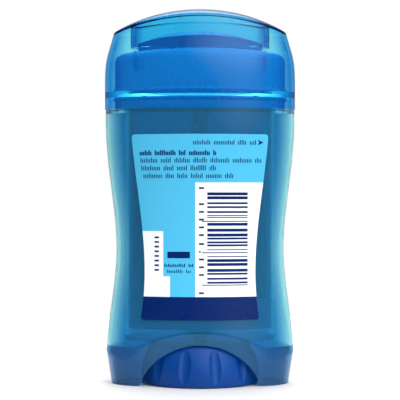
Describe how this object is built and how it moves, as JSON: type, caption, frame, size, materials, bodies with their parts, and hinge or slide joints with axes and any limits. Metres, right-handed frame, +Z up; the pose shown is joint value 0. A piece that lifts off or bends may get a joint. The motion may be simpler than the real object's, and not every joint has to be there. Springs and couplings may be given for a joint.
{
  "type": "clear gel deodorant stick with cap",
  "caption": "Waisted oval clear-gel stick: see-through barrel and pull-off domed cap, slotted applicator, screw-driven elevator and a fluted turning dial in the foot.",
  "frame": {"origin": "centre of the underside, on the surface that the stick stands on", "axes": "+Z up along the screw, +X to the right seen from the back-label side, -Y out of the back label"},
  "size_m": [0.066, 0.0406, 0.1292],
  "materials": {
    "cap_clear_blue": "gloss",
    "applicator_blue": "gloss",
    "barrel_clear_teal": "gloss",
    "chamber_clear": "gloss",
    "dial_blue": "satin",
    "inner_blue": "matte",
    "seal_rubber": "matte",
    "gel_clear": "gloss",
    "label_sky": "semi gloss film",
    "label_navy": "semi gloss film",
    "label_white": "semi gloss film"
  },
  "bodies": {
    "barrel": {"barrel_shell": "barrel_clear_teal", "inner_chamber": "chamber_clear", "applicator_dome": "applicator_blue", "back_label": "label_sky", "label_band": "label_navy", "barcode_panel": "label_white", "lot_panel": "label_white", "code_bars": "label_navy", "front_label": "label_sky", "gel": "gel_clear"},
    "cap": {"overcap": "cap_clear_blue"},
    "drive": {"dial": "dial_blue", "feed_screw": "inner_blue", "spindle_seal": "seal_rubber"},
    "elevator": {"elevator": "inner_blue"}
  },
  "joints": [
    {"name": "cap_pull", "type": "slide", "parent": "barrel", "child": "cap", "axis": [0, 0, 1], "range_m": [0, 0.045]},
    {"name": "dial_turn", "type": "hinge", "parent": "barrel", "child": "drive", "pos_m": [0, 0, 0.007], "axis": [0, 0, 1], "range_deg": [0, 3420]},
    {"name": "elevator_rise", "type": "slide", "parent": "barrel", "child": "elevator", "axis": [0, 0, 1], "range_m": [0, 0.0761], "deforming": ["gel"]}
  ],
  "couplings": [
    {"joint": "elevator_rise", "follows": "dial_turn", "m_per_rad": 0.0012732}
  ]
}
